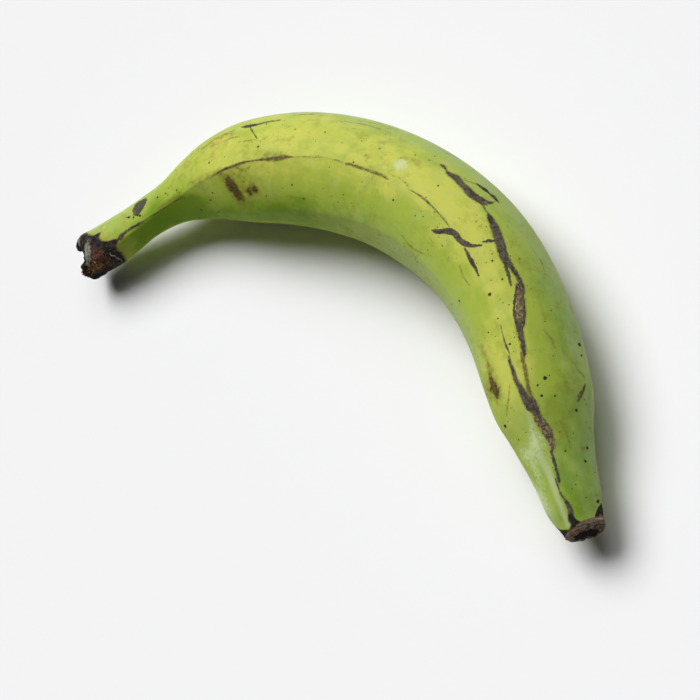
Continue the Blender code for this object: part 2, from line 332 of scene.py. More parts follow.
# How yellow (above 0) or deep green (below 0) the peel is: partly its own tone, and partly
# painted shade, deeper green on the inner side, under the top ridge and along the outer edge.
TONES_AND_SHADE = (
    (125, 27, 55, 14, 0.6), (74, 8, 12, 10, 0.5), (102, 15, 10, 6, 0.4), (100, -22, 26, 6, 0.45),
    (185, 24, 28, 9, 0.8), (160, 10, 30, 8, 0.4), (225, 6, 35, 10, 0.7), (235, 66, 40, 10, -0.35),
    (250, -16, 16, 6, 0.6), (12, 10, 8, 8, 0.5), (28, -12, 9, 6, 0.6), (50, -38, 16, 6, -0.9),
    (60, -72, 40, 14, -0.9), (28, -75, 22, 12, -1), (110, -68, 40, 12, -0.7), (105, -58, 26, 8, -0.4),
    (69, -48, 10, 10, 0.4), (150, -38, 22, 5, -0.3), (215, 60, 40, 12, -0.45), (276, 36, 26, 14, -1),
    (300, 22, 14, 14, -0.7), (298, 36, 12, 2.4, 0.5), (200, -36, 12, 6, -0.3), (280, 68, 20, 6, -0.3),
)
# Reddish brown areas of the crown's torn flesh.
RUST = ((7, -28, 4, 5, 0.9), (8.5, -80, 4, 8, 0.8), (2, -55, 4, 5, 0.7))
PATCH_GROUPS = {
    "rust": RUST, "bruise": BRUISES, "pale": PALE_PATCHES, "grey": GREY_PATCHES,
    "bloom_and_sheen": BLOOMS_AND_SHEEN, "tone_and_shade": TONES_AND_SHADE,
}

# ---- the dried ends

# How far the dead skin reaches from the crown, by degrees round.
DEAD_SKIN = (
    (-180, 8), (-120, 12), (-90, 14.5), (-70, 15), (-50, 15.4), (-40, 16.2), (-33, 19), (-26, 17.4),
    (-20, 14.6), (-8, 12.2), (6, 11.6), (13, 12.6), (18, 13.2), (23, 10.4), (28, 9.4), (38, 8.2),
    (50, 7), (75, 6), (110, 6), (180, 8),
)
# Where the black skin of the tip begins, in millimetres from the crown, by degrees round.
DRY_TIP = (
    (-180, 305), (-100, 302.6), (-73, 303), (-62, 305.4), (-33, 307.4), (-14, 307), (-11, 303),
    (-4, 303), (2, 305.6), (8, 306.4), (16, 308), (50, 308), (58, 305.6), (70, 303), (80, 301.5),
    (90, 303), (120, 305), (180, 305),
)
# The largest distance from either edge that the skin keeps.
DEAD_REACH = 14
# Lumps and hollows: mm along, degrees round, reach along and round in mm, height.
LUMPS = (
    (4, 56, 3.4, 5, 1.7), (1.4, 30, 1.3, 1.5, -1.2), (8, 8, 2.6, 5, -0.4), (2, -55, 3, 4, 0.5),
    (-1, -35, 1, 1.4, 0.9), (7, -62, 2, 3, -0.5), (11, -75, 3, 5, 0.4), (20, 62, 12, 7, -0.8),
    (299, -76, 6, 6, 0.7), (300, -3, 7, 1.4, -0.5),
)
# Grains of dried flesh lie about here on the crown: mm along, degrees round, reach of each,
# count, and size in mm.
GRAINS = (
    (1.2, -57, 4.4, 18, 170, 0.27), (4, -64, 4, 14, 110, 0.21), (6, -38, 6, 24, 50, 0.16),
    (9, -66, 8, 34, 40, 0.15), (3.5, 12, 4, 24, 16, 0.13),
)
GRAIN_SEED = 7
# Strands of the crown: mm along, degrees round, and height over the skin in mm, and their radius.
CURLED_STRAND = (
    (12, -44, 0.2), (11.6, -50, 0.9), (12.4, -58, 0.9), (12.8, -70, 0.8), (12.9, -82, 0.5),
    (12.4, -92, 0.1),
)
CURLED_RADIUS = 0.17
BUNDLE = ((7, 22), (4.6, 8), (4, -6), (2.8, -22), (0.6, -38))
BUNDLE_COUNT = 18
BUNDLE_SPREAD = (1.2, 9)
BUNDLE_RADIUS = 0.075

# ---- finish


def tint(red, green, blue):
    """A colour given in steps of 0 to 255, as the linear numbers that a shader takes."""
    steps = (value / 255 for value in (red, green, blue))
    return (*(s / 12.92 if s < 0.04 else ((s + 0.055) / 1.055) ** 2.4 for s in steps), 1)


YELLOW_GREEN = tint(194, 196, 86)
MID_GREEN = tint(160, 178, 66)
DEEP_GREEN = tint(112, 145, 26)
# The pale blue-green of the wax bloom, also painted as sheen, the grazing reflection at the edges.
BLOOM_AND_SHEEN = tint(164, 184, 134)
OLIVE_SMUDGE = tint(138, 138, 56)
FRECKLE = tint(74, 76, 34)
OLIVE_BROWN = tint(122, 106, 46)
BRUISE_BROWN = tint(74, 57, 33)
PALE_WAX = tint(200, 214, 160)
# Pale wax, also painted as a highlight beside the tip's ridge and a sheen along its inner edge.
WAX_AND_HIGHLIGHT_STRIP = tint(178, 190, 140)
GREY_SCAR = tint(66, 62, 60)
BROWN_SCAR = tint(97, 79, 47)
LIGHT_CORK = tint(156, 138, 102)
DARK_CORK = tint(80, 66, 54)
SCAR_DARK = tint(60, 55, 48)
SCAR_GREY = tint(104, 96, 80)
DOT_BROWN = tint(54, 48, 28)
DRYING_YELLOW = tint(160, 148, 62)
DEAD_PURPLE = tint(70, 62, 64)
DEAD_BLACK = tint(34, 31, 26)
DEAD_RUST = tint(84, 56, 46)
TIP_BLACK = tint(40, 39, 34)
STRAND_GREY = tint(168, 170, 154)
STRAND_DARK = tint(104, 102, 90)
GRAIN_BROWN = tint(84, 54, 38)
GRAIN_TAN = tint(168, 128, 84)
CAP_DARK = tint(60, 52, 46)
CAP_GREY = tint(128, 114, 100)
CAP_TAN = tint(140, 112, 86)
CAP_EDGE = tint(186, 174, 146)
FLOOR_COLOUR = (0.86, 0.86, 0.87, 1)
WHITE = (1, 1, 1, 1)
PEEL_ROUGHNESS = 0.48
SCAR_ROUGHNESS = 0.8
FLOOR_ROUGHNESS = 0.9
GLOSS = 0.07
# In metres.
BUMP_HEIGHT = 0.00012

# ---- light and camera

CAMERA_TARGET = (2.9, -28.4, 16.1)
CAMERA_AZIMUTH = 78.6
CAMERA_ELEVATION = 61.7
CAMERA_ROLL = -47.8
# In metres.
CAMERA_DISTANCE = 1.05
FLOOR_SIZE = 40
FOCAL_LENGTH = 139.7
# The studio is dim overhead and pale at the horizon, and changes between these heights.
SKY_LIGHT = 0.04
HORIZON_LIGHT = 0.8
HORIZON = (0.03, 0.12)
# Each soft light, as broad as a window: name, azimuth, elevation, breadth and strength.
LIGHTS = (("key", 255, 55, 40, 2.9), ("fill", 215, 60, 50, 0.9))

# ---- the fruit's surface


def smooth(knots, values, at):
    """Values on a smooth curve through the given ones."""
    knots, values = np.asarray(knots, float), np.asarray(values, float)
    slopes = np.gradient(values, knots, axis=0)
    low = np.clip(np.searchsorted(knots, at, side="right") - 1, 0, len(knots) - 2)
    step = knots[low + 1] - knots[low]
    share = (at - knots[low]) / step
    if values.ndim == 2:
        step, share = step[:, None], share[:, None]
    square, cube = share**2, share**3
    return (
        values[low] * (2 * cube - 3 * square + 1)
        + values[low + 1] * (3 * square - 2 * cube)
        + slopes[low] * step * (cube - 2 * square + share)
        + slopes[low + 1] * step * (cube - square)
    )


def smoothly(table, at):
    """A value given as (place, value) pairs, read off a smooth curve through them."""
    return smooth(*zip(*table), at)


def straight(table, at):
    """A value given as (place, value) pairs, read off straight lines between them."""
    return np.interp(at, *zip(*table))


def unit(vectors):
    """The vectors, made one long."""
    return vectors / np.maximum(np.linalg.norm(vectors, axis=-1, keepdims=True), 1e-9)


def path_lengths(points):
    """The length from the first point to each."""
    return np.concatenate([[0], np.cumsum(np.linalg.norm(np.diff(points, axis=0), axis=1))])


def axis_path():
    """Many points on the axis, and the length from the crown to each."""
    corners = np.array(AXIS, float)
    knots = path_lengths(corners)
    path = smooth(knots, corners, np.linspace(0, knots[-1], AXIS_SAMPLES))
    return path, path_lengths(path)


PATH, PATH_LENGTHS = axis_path()
LENGTH = PATH_LENGTHS[-1]


def axis_frames(stations):
    """Points on the axis, and the directions along it and out of its bend, in space."""
    along = np.gradient(PATH, PATH_LENGTHS, axis=0)
    points, heading = np.zeros((2, len(stations), 3))
    for i in (0, 1):
        points[:, i] = np.interp(stations, PATH_LENGTHS / LENGTH, PATH[:, i])
        heading[:, i] = np.interp(stations, PATH_LENGTHS / LENGTH, along[:, i])
    heading = unit(heading)
    outward = np.stack([-heading[:, 1], heading[:, 0], heading[:, 2]], axis=1)
    return points, heading, outward


def flattened(stations, angles):
    """Radius of a ring as a share of its radius over the ridges."""
    corners = np.radians([smoothly(ridge, stations) for ridge in RIDGES])
    following = np.roll(corners, -1, axis=0)
    following[-1] += 2 * math.pi
    facing = (corners + following) / 2
    reach = np.cos((following - corners) / 2)
    lean = np.cos(angles[None, None, :] - facing[:, :, None]) / reach[:, :, None]
    polygon = (np.maximum(lean, 0) ** CORNER_POWER).sum(axis=0) ** (-1 / CORNER_POWER)
    return 1 - smoothly(FLATNESS, stations)[:, None] * (1 - polygon)


def torn(stations, angles):
    """How far the uneven crown stands out or in, as a factor on the radius."""
    fade = np.clip(1 - stations / CROWN_REACH, 0, 1)[:, None] ** 2
    waves = 0
    for count, height, turn in CROWN_WAVES:
        waves = waves + height * np.sin(count * angles + math.radians(turn))
    return 1 + fade * waves


def spokes(stations, angles):
    """From the axis to the skin: vectors to every point of the rings at the given stations."""
    _, _, outward = axis_frames(stations)
    radius = smoothly(RADIUS, stations)[:, None] * flattened(stations, angles)
    radius *= torn(stations, angles)
    across = (radius * np.sin(angles))[:, :, None] * outward[:, None]
    return across + (radius * np.cos(angles))[:, :, None] * np.array([0, 0, 1])


def on_skin(along, degrees):
    """Points of the skin at places given in millimetres along and degrees round, fruit flat."""
    stations = np.asarray(along, float) / LENGTH
    pick = np.arange(len(stations))
    return axis_frames(stations)[0] + spokes(stations, np.radians(degrees))[pick, pick]


class Surface:
    """A grid of loops round the axis, with the fruit flat.

    grid: the points. heading and normals: directions along the axis and out of the surface.
    along, round, radius: each point's place on the fruit.
    unbent: each point as it would be on a straight fruit, for textures that don't bend.
    """

    def __init__(self, stations, share, ahead, angles):
        centres, self.heading, outward = axis_frames(stations)
        rays = spokes(stations, angles) * share[:, None, None]
        sideways = np.einsum("ijk,ik->ij", rays, outward)
        self.outer = sideways / np.abs(smoothly(RADIUS, stations))[:, None]
        self.grid = centres[:, None] + rays
        self.along = np.repeat(stations[:, None] * LENGTH, len(angles), axis=1)
        self.round = (np.degrees(angles) + 180 + 0 * self.along) % 360 - 180
        self.radius = np.linalg.norm(rays, axis=2)
        self.angles = angles
        self.slide(ahead[:, None] + 0 * self.along)

    def slide(self, distance):
        """Moves every point along the axis by its distance."""
        self.grid = self.grid + distance[:, :, None] * self.heading[:, None]
        self.along = self.along + distance
        beside = self.radius * np.sin(self.angles)
        above = self.radius * np.cos(self.angles)
        self.unbent = np.stack([self.along, beside, above], axis=2)
        self.normals = facing(self.grid)
        self.normals[0], self.normals[-1] = -self.heading[0], self.heading[-1]

    def raise_by(self, height):
        """Moves every point outwards by its height."""
        self.grid = self.grid + height[:, :, None] * self.normals

    def turn_from(self, degrees):
        """How far round each point is from some degrees, in radians, the shorter way."""
        return np.radians((self.round - degrees + 180) % 360 - 180)


def facing(grid):
    """Unit normals of a grid of loops, pointing out."""
    closed = np.concatenate([grid[:, -1:], grid, grid[:, :1]], axis=1)
    return unit(np.cross(np.gradient(grid, axis=0), closed[:, 2:] - closed[:, :-2]))


def crowded_stations():
    """Stations of the rings, which stand closer near both ends."""
    share = np.linspace(0, 1, AXIS_SAMPLES)
    density = 1
    for (crowd, reach), distance in ((CROWN_CROWDING, share), (TIP_CROWDING, 1 - share)):
        density = density + crowd * np.exp(-((distance * LENGTH / reach) ** 4))
    total = np.cumsum(density) - density[0]
    return np.interp(np.linspace(0, 1, RINGS), total / total[-1], share)


def crowded_angles():
    """Angles of a loop's points, which stand closer on the top of the fruit."""
    turn = np.linspace(0, 2 * math.pi, SIDES, endpoint=False)
    return turn - TOP_CROWDING * np.sin(turn)


def face_loops(face, count):
    """Evenly spaced loops on an end face: how far each stands out, and its size as a share."""
    out, share = np.array(face, float).T
    knots = path_lengths(np.stack([out, share * RIM_RADIUS], axis=1))
    at = np.linspace(0, knots[-1], count + 1)[1:]
    return smooth(knots, out, at), np.clip(smooth(knots, share, at), 0, 1)


def end_fade(distance, reach):
    """1 at an end of the fruit, and 0 beyond a reach from it, given stations from that end."""
    return np.clip(1 - distance * LENGTH / reach, 0, 1)[:, None] ** 2


def set_back(table, skin, share):
    """How far an end's rim is moved in, with the middle of its face moved evenly."""
    rim = straight(table, skin.round)
    return rim.mean() + share[:, None] * (rim - rim.mean())


def whole_skin():
    """The smooth surface of the fruit, from the middle of the crown to that of the tip."""
    crown_out, crown_share = face_loops(CROWN_FACE, FACE_LOOPS)
    tip_out, tip_share = face_loops(TIP_FACE, FACE_LOOPS // 3)
    body = crowded_stations()
    stations = np.concatenate([0 * crown_out, body, 0 * tip_out + 1])
    share = np.concatenate([crown_share[::-1], 0 * body + 1, tip_share])
    ahead = np.concatenate([-crown_out[::-1], 0 * body, tip_out])
    share[0] = share[-1] = 0
    skin = Surface(stations, share, ahead, crowded_angles())
    slant = CROWN_SLANT * (1 + skin.outer) / 2
    crown = slant + set_back(CROWN_SET_BACK, skin, share)
    tip = set_back(TIP_SET_BACK, skin, share)
    crown_fade = end_fade(stations, CROWN_BLEND)
    skin.slide(crown_fade * crown - end_fade(1 - stations, TIP_BLEND) * tip)
    return skin


# ---- marks, as fields on the skin


def unmarked(skin):
    """A field of three numbers at each skin point, the last one far below 0: no mark is near."""
    return np.zeros((*skin.along.shape, 3)) + (0, 0, -9)


def line_points(line):
    """A mark's middle line, sampled closely: its place along, points, sides, headings, widths."""
    along, degrees, width = np.array(line, float).T
    knots = path_lengths(on_skin(along, degrees))
    at = np.linspace(0, knots[-1], max(3, int(knots[-1] / LINE_STEP) + 1))
    along, degrees = smooth(knots, along, at), smooth(knots, degrees, at)
    points = on_skin(along, degrees)
    heading = unit(np.gradient(points, axis=0))
    side = unit(np.cross(points - axis_frames(along / LENGTH)[0], heading))
    return along, points, side, heading, np.interp(at, knots, width) / 2


def line_field(skin, lines):
    """For each skin point, its place by the nearest mark: across it, 0, and half its width."""
    field = unmarked(skin)
    best = np.full(skin.along.shape, -LINE_MARGIN)
    for line in lines:
        along, points, side, heading, half = line_points(line)
        near = (skin.along > along.min() - MARK_WINDOW) & (skin.along < along.max() + MARK_WINDOW)
        rows, columns = np.nonzero(near)
        places = skin.grid[rows, columns]
        far = ((places[:, None] - points[None]) ** 2).sum(axis=2)
        nearest = np.argmin(far, axis=1)
        offset = places - points[nearest]
        across = (offset * side[nearest]).sum(axis=1)
        past = np.maximum(np.abs((offset * heading[nearest]).sum(axis=1)) - LINE_STEP, 0)
        width = half[nearest] - past
        score = width - np.abs(across)
        wins = (score > best[rows, columns]) & (far.min(axis=1) < MARK_WINDOW**2)
        rows, columns = rows[wins], columns[wins]
        best[rows, columns] = score[wins]
        field[rows, columns, 0] = across[wins]
        field[rows, columns, 2] = width[wins]
    return field


def dot_field(skin, dots):
    """For each skin point, the nearest dot: how far it is along and round, and its radius."""
    field = unmarked(skin)
    for along, degrees, radius in dots:
        middle = on_skin([along], [degrees])[0]
        centre, heading, _ = (row[0] for row in axis_frames(np.array([along / LENGTH])))
        side = unit(np.cross(heading, middle - centre))
        offset = skin.grid - middle
        near = np.linalg.norm(offset, axis=2) < radius + LINE_MARGIN
        sizes = np.full(near.sum(), radius)
        field[near] = np.stack([offset[near] @ heading, offset[near] @ side, sizes], axis=1)
    return field


def patch_field(skin, patches):
    """Soft spots: how strong the patches are at each skin point."""
    total = np.zeros(skin.along.shape)
    for along, degrees, reach_along, reach_round, amount in patches:
        ahead = (skin.along - along) / reach_along
        beside = skin.turn_from(degrees) * skin.radius / reach_round
        total += amount * np.exp(-(ahead**2 + beside**2))
    return total


def skin_fields(skin):
    """Everything that the material reads at each point of the skin."""
    crown = straight(DEAD_SKIN, skin.round) - skin.along
    tip = skin.along - straight(DRY_TIP, skin.round)
    return {
        "unbent": skin.unbent,
        "dots": dot_field(skin, DOTS),
        "dead_crown": np.clip(crown, -DEAD_REACH, DEAD_REACH),
        "dead_tip": np.clip(tip, -DEAD_REACH, DEAD_REACH),
        **{name: line_field(skin, lines) for name, lines in LINE_GROUPS.items()},
        **{name: patch_field(skin, patches) for name, patches in PATCH_GROUPS.items()},
    }


# ---- relief


def bumps(points, size, octaves=3):
    """Smooth noise at each point, about -1 to 1, with bumps of the given size."""
    flat = points.reshape(-1, 3) / size
    values = [noise.fractal(Vector(p), 1, 2, octaves) for p in flat]
    return np.array(values).reshape(points.shape[:-1])


def ramp(values, low, high):
    """0 below low, 1 above high, and smooth between."""
    share = np.clip((values - low) / (high - low), 0, 1)
    return share * share * (3 - 2 * share)


def crests(skin):
    """How far the ridges stand out as edges over the smooth rings."""
    height = 0
    for ridge, heights in CRESTS:
        middle = smoothly(ridge, np.clip(skin.along[:, :1] / LENGTH, 0, 1).ravel())[:, None]
        beside = np.abs(skin.turn_from(middle)) * skin.radius / CREST_REACH
        height = height + straight(heights, skin.along) * np.exp(-beside)
    return height


def skin_relief(skin, fields):
    """How far each point of the skin stands out: the peel isn't even, and scars are corky."""
    swell = SWELL * bumps(skin.unbent, 30, 2) + RIPPLE * bumps(skin.unbent + 50, 8, 3)
    crust = bumps(skin.unbent + 100, 1.6, 3)
    height = swell + crests(skin) + patch_field(skin, LUMPS)
    for name in RAISED_GROUPS:
        across, _, half = np.moveaxis(fields[name], 2, 0)
        inside = ramp(half - np.abs(across), -0.3, 0.7)
        height = height + inside * (SCAR_RISE + CRUST * crust)
    dead = ramp(fields["dead_crown"], 0, 3)
    ripped = ramp(fields["dead_crown"], 5, 10)
    lumps = bumps(skin.unbent + 200, 4.5, 4)
    crumbly = bumps(skin.unbent + 300, 1, 3)
    height = height - dead * (DEAD_SINK + CRUST * crust)
    height = height + ripped * (TORN_LUMPS * lumps + TORN_CRUST * crust + TORN_CRUMBS * crumbly)
    return height - ramp(fields["dead_tip"], 0, 2) * (TIP_SINK + CRUST * crust)


# ---- meshes


def settled(points):
    """The points in metres, leaning as the fruit lies, kept inside the CAD model's box."""
    lean = Matrix.Rotation(math.radians(LEAN), 3, "X")
    yaw = Matrix.Rotation(math.radians(YAW_LEAN), 3, "Y")
    turned = points @ np.array(yaw @ lean).T
    low, high = (np.array(corner) for corner in cad_box)
    return np.clip((turned + np.array(RESTING_SHIFT)) * MM, low, high)


def settled_mesh(name, points, faces):
    """A smooth mesh of some points and faces, settled in place."""
    mesh = bpy.data.meshes.new(name)
    mesh.from_pydata(settled(points), [], faces)
    mesh.shade_smooth()
    return mesh


def per_vertex(values):
    """A field on a grid as one row per vertex of its closed mesh."""
    body = values[1:-1].reshape(-1, *values.shape[2:])
    return np.concatenate([body, values[0, :1], values[-1, :1]])


def closed_mesh(surface, name):
    """The closed mesh of a surface whose first and last loops are points."""
    rows, sides = len(surface.grid) - 2, surface.grid.shape[1]
    here, there = np.arange(sides), np.roll(np.arange(sides), -1)
    start = np.arange(rows - 1)[:, None] * sides
    corners = (start + there, start + here, start + sides + here, start + sides + there)
    quads = np.stack(corners, axis=2).reshape(-1, 4).tolist()
    first, last, tail = rows * sides, rows * sides + 1, (rows - 1) * sides
    fans = [(first, i, j) for i, j in zip(here.tolist(), there.tolist())]
    fans += [(last, tail + j, tail + i) for i, j in zip(here.tolist(), there.tolist())]
    return settled_mesh(name, per_vertex(surface.grid), quads + fans)


def joined_mesh(bodies, name):
    """One mesh of several small closed bodies."""
    points, faces = [], []
    for body_points, body_faces in bodies:
        faces += [[corner + len(points) for corner in face] for face in body_faces]
        points += body_points.tolist()
    return settled_mesh(name, np.array(points), faces)


def over_skin(skin, along, degrees, height):
    """The point that stands a height over a place on the finished skin."""
    far = (skin.along - along) ** 2 + (skin.turn_from(degrees) * RIM_RADIUS) ** 2
    row, column = np.unravel_index(np.argmin(far), far.shape)
    return skin.grid[row, column] + height * skin.normals[row, column]


def grain(middle, size):
    """A rough lump of dried flesh: its points and faces."""
    ball = bmesh.new()
    bmesh.ops.create_icosphere(ball, subdivisions=2, radius=1)
    points = np.array([corner.co for corner in ball.verts])
    faces = [[corner.index for corner in face.verts] for face in ball.faces]
    ball.free()
    rough = 1 + 0.5 * bumps(points + middle, 0.9, 2)
    return middle + size * rough[:, None] * points, faces


def strand(path, radius):
    """A thin round strand along a path, pointed at both ends: its points and faces."""
    knots = path_lengths(path)
    count = max(8, int(knots[-1] / STRAND_STEP))
    share = np.linspace(0, 1, count)
    middle = smooth(knots, path, share * knots[-1])
    heading = np.gradient(middle, axis=0)
    side = unit(np.cross(heading, (1, 0, 0.3)))
    rise = unit(np.cross(heading, side))
    turn = np.linspace(0, 2 * math.pi, STRAND_SIDES, endpoint=False)[:, None]
    taper = (1 - np.abs(2 * share - 1) ** 4) * radius + radius / 5
    loops = side[:, None] * np.cos(turn) + rise[:, None] * np.sin(turn)
    points = middle[:, None] + loops * taper[:, None, None]
    faces = [list(range(STRAND_SIDES))[::-1]]
    for low in range(0, (count - 1) * STRAND_SIDES, STRAND_SIDES):
        for here in range(STRAND_SIDES):
            there, high = (here + 1) % STRAND_SIDES, low + STRAND_SIDES
            faces.append([low + here, low + there, high + there, high + here])
    faces.append([(count - 1) * STRAND_SIDES + here for here in range(STRAND_SIDES)])
    return points.reshape(-1, 3), faces


def add_field(mesh, name, values):
    """Keeps a field with a mesh, as a number or a vector at each vertex."""
    rows = per_vertex(values)
    kind, key = ("FLOAT_VECTOR", "vector") if rows.ndim == 2 else ("FLOAT", "value")
    mesh.attributes.new(name, kind, "POINT").data.foreach_set(key, rows.ravel())


def add_object(name, data):
    """A new object in the scene."""
    made = bpy.data.objects.new(name, data)
    bpy.context.scene.collection.objects.link(made)
    return made


def add_piece(mesh, material):
    """Shows a mesh as a piece of the object that rides with the CAD body."""
    mesh.materials.append(material)
    piece = add_object(mesh.name, mesh)
    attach(piece, BODY)
    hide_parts(NODE)


# ---- materials


class Nodes:
    """The nodes of a material or a world, and short calls that add to them."""

    def __init__(self, owner, shader):
        owner.use_nodes = True
        self.owner = owner
        self.tree = owner.node_tree
        self.shader = self.tree.nodes[shader].inputs

    def link(self, socket, value):
        """Links a socket to an output, or sets it to a value."""
        if isinstance(value, bpy.types.NodeSocket):
            self.tree.links.new(value, socket)
        else:
            socket.default_value = value

    def put(self, name, value):
        """Gives the shader a value."""
        self.link(self.shader[name], value)

    def node(self, kind, sockets, output=0, **settings):
        """Adds a node, sets or links its sockets, and gives one of its outputs."""
        made = self.tree.nodes.new("ShaderNode" + kind)
        for name, value in settings.items():
            setattr(made, name, value)
        for key, value in sockets.items():
            self.link(made.inputs[key], value)
        return made.outputs[output]


class Paint(Nodes):
    """A material that is painted in layers.

    place: where noises are read. colour: what the layers so far come to.
    """

    def __init__(self, name, base):
        super().__init__(bpy.data.materials.new(name), "Principled BSDF")
        self.place = None
        self.colour = base

    def number(self, name):
        return self.node("Attribute", {}, "Fac", attribute_name=name)

    def vector(self, name):
        return self.node("Attribute", {}, "Vector", attribute_name=name)

    def parts(self, name):
        vector = self.vector(name)
        return [self.node("SeparateXYZ", {0: vector}, axis) for axis in "XYZ"]

    def math(self, operation, first, second=0.0):
        return self.node("Math", {0: first, 1: second}, operation=operation)

    def chain(self, operation, values):
        """One value made of several, taken one after another."""
        return reduce(lambda total, value: self.math(operation, total, value), values)

    def add(self, *terms):
        return self.chain("ADD", terms)

    def times(self, *factors):
        return self.chain("MULTIPLY", factors)

    def most(self, *values):
        return self.chain("MAXIMUM", values)

    def at_least(self, least, share):
        """From a least value, where the share is 0, up to 1."""
        return self.add(least, self.times(share, 1 - least))

    def step(self, value, low, high):
        """0 below low, 1 above high, and smooth between."""
        sockets = {"Value": value, "From Min": low, "From Max": high}
        return self.node("MapRange", sockets, interpolation_type="SMOOTHSTEP")

    def noise(self, size, detail=3.0, roughness=0.5, stretch=1, shift=0):
        """Noise from 0 to 1 with bumps of a size, which a stretch under 1 draws out lengthwise.

        A shift reads it from another place.
        """
        place = self.place
        if shift:
            place = self.node("VectorMath", {0: place, 1: (shift, 0, 0)}, operation="ADD")
        if stretch != 1:
            place = self.node("VectorMath", {0: place, 1: (stretch, 1, 1)}, operation="MULTIPLY")
        sockets = {"Vector": place, "Scale": 1 / size, "Detail": detail, "Roughness": roughness}
        return self.node("TexNoise", sockets)

    def waver(self, size, height, detail=3.0, stretch=1):
        """Noise about 0, to add to an edge's distance or to a tone."""
        centred = self.math("SUBTRACT", self.noise(size, detail, 0.6, stretch), 0.5)
        return self.times(centred, 2 * height)

    def uneven(self, name, size, height, detail):
        """A field of the mesh with noise added, so that its edges waver."""
        return self.add(self.number(name), self.waver(size, height, detail))

    def blots(self, size, low, high, detail=3.0, roughness=0.5, stretch=1, shift=0):
        """Blots of a size: 0 where noise is below low, 1 where it is above high."""
        return self.step(self.noise(size, detail, roughness, stretch, shift), low, high)

    def speckles(self, size, radius, share):
        """Small scattered dots: a share of the cells of a pattern have one."""
        sockets = {"Vector": self.place, "Scale": 1 / size}
        distance = self.node("TexVoronoi", sockets, "Distance")
        colour = self.node("TexVoronoi", sockets, "Color")
        chance, breadth = (self.node("SeparateColor", {0: colour}, key) for key in ("Red", "Green"))
        there = self.step(chance, 1 - share, 1.02 - share)
        reach = self.times(self.add(0.4, breadth), radius / size)
        ragged = self.waver(radius * 2, 0.3 * radius / size)
        edge = self.add(self.math("SUBTRACT", reach, distance), ragged)
        return self.times(there, self.step(edge, -0.02, 0.04))

    def line_edge(self, field, ragged):
        """How far inside a group of lines a point is, with ragged edges."""
        across, _, half = self.parts(field)
        inside = self.math("SUBTRACT", half, self.math("ABSOLUTE", across))
        return self.add(inside, self.waver(1.6, ragged), self.waver(0.5, ragged / 2))

    def line_mask(self, field, ragged, soft):
        """1 on a group of lines."""
        return self.step(self.line_edge(field, ragged), -soft, soft)

    def dot_mask(self, field, ragged, soft):
        """1 on the dots, with uneven outlines."""
        along, beside, radius = self.parts(field)
        length = self.math("SQRT", self.add(self.times(along, along), self.times(beside, beside)))
        edge = self.add(self.math("SUBTRACT", radius, length), self.waver(0.8, ragged))
        return self.step(edge, -soft, soft)

    def mix(self, first, second, *shares):
        """The first colour, with the second over it as far as the product of the shares."""
        factor, from_colour, to_colour, mixed = 0, 6, 7, 2
        sockets = {factor: self.times(*shares), from_colour: first, to_colour: second}
        return self.node("Mix", sockets, mixed, data_type="RGBA")

    def paint(self, colour, *shares):
        """Lays a colour over the layers so far, as far as the product of the shares."""
        self.colour = self.mix(self.colour, colour, *shares)

    def relief(self, strength, height, *terms):
        """Bumps up to a height in metres, from a sum of terms."""
        sockets = {"Strength": strength, "Distance": height, "Height": self.add(*terms)}
        self.put("Normal", self.node("Bump", sockets))

    def finish(self, roughness, gloss=GLOSS):
        """The finished material."""
        self.put("Base Color", self.colour)
        self.put("Roughness", roughness)
        self.put("Specular IOR Level", gloss)
        return self.owner


def peel_material():
    """Waxy peel with its scars, specks, bruises, dead crown tissue and dry tip."""
    peel = Paint("green_peel", DEEP_GREEN)
    peel.place = peel.vector("unbent")
    paint_greens(peel)
    paint_stains(peel)
    paint_bruises(peel)
    peel.paint(DRYING_YELLOW, peel.step(peel.uneven("dead_crown", 6, 1.6, 5), -4.5, 0.5), 0.6)
    cork = paint_scars(peel)
    crusty = peel.most(cork, paint_dead_ends(peel))
    pores = peel.times(peel.noise(0.5, 2), 0.2)
    fibres = peel.times(peel.noise(0.9, stretch=0.2), 0.3)
    dimples = peel.times(peel.noise(3), 0.9)
    crust = peel.times(crusty, peel.noise(0.9, 4, 0.7), 3)
    peel.relief(0.8, BUMP_HEIGHT, pores, fibres, dimples, crust)
    dull = peel.times(crusty, SCAR_ROUGHNESS - PEEL_ROUGHNESS)
    return peel.finish(peel.add(PEEL_ROUGHNESS, peel.waver(6, 0.06), dull))


def paint_greens(peel):
    """Green, yellower and deeper in places (the deeper partly painted shade), mottled, with wax bloom
    and painted sheen.
    """
    streaks = peel.waver(4, 0.5, stretch=0.15)
    # The tone is partly the peel's own and partly painted shade: deeper green on the inner side, under
    # the top ridge and at the outer edge.
    tone_and_shade = peel.add(peel.number("tone_and_shade"), peel.waver(30, 0.8), streaks, peel.waver(7, 1, 7))
    peel.paint(MID_GREEN, peel.step(tone_and_shade, -1.5, -0.1))
    peel.paint(YELLOW_GREEN, peel.step(tone_and_shade, -0.1, 1.1))
    cloudy = peel.at_least(0.35, peel.blots(6, 0.3, 0.75, 6, 0.7, stretch=0.5))
    # Painted sheen: the grazing reflection along the edges, laid on with the wax bloom.
    peel.paint(BLOOM_AND_SHEEN, peel.number("bloom_and_sheen"), cloudy)
    dusty = peel.blots(9, 0.5, 0.8, 6, 0.75, shift=1500)
    peel.paint(BLOOM_AND_SHEEN, dusty, peel.step(tone_and_shade, -1.3, 0), 0.35)
    # Painted highlight beside the tip's ridge and painted sheen along its inner edge, on pale wax.
    peel.paint(WAX_AND_HIGHLIGHT_STRIP, peel.line_mask("wax_and_highlight_lines", 0.8, 1), 0.75)


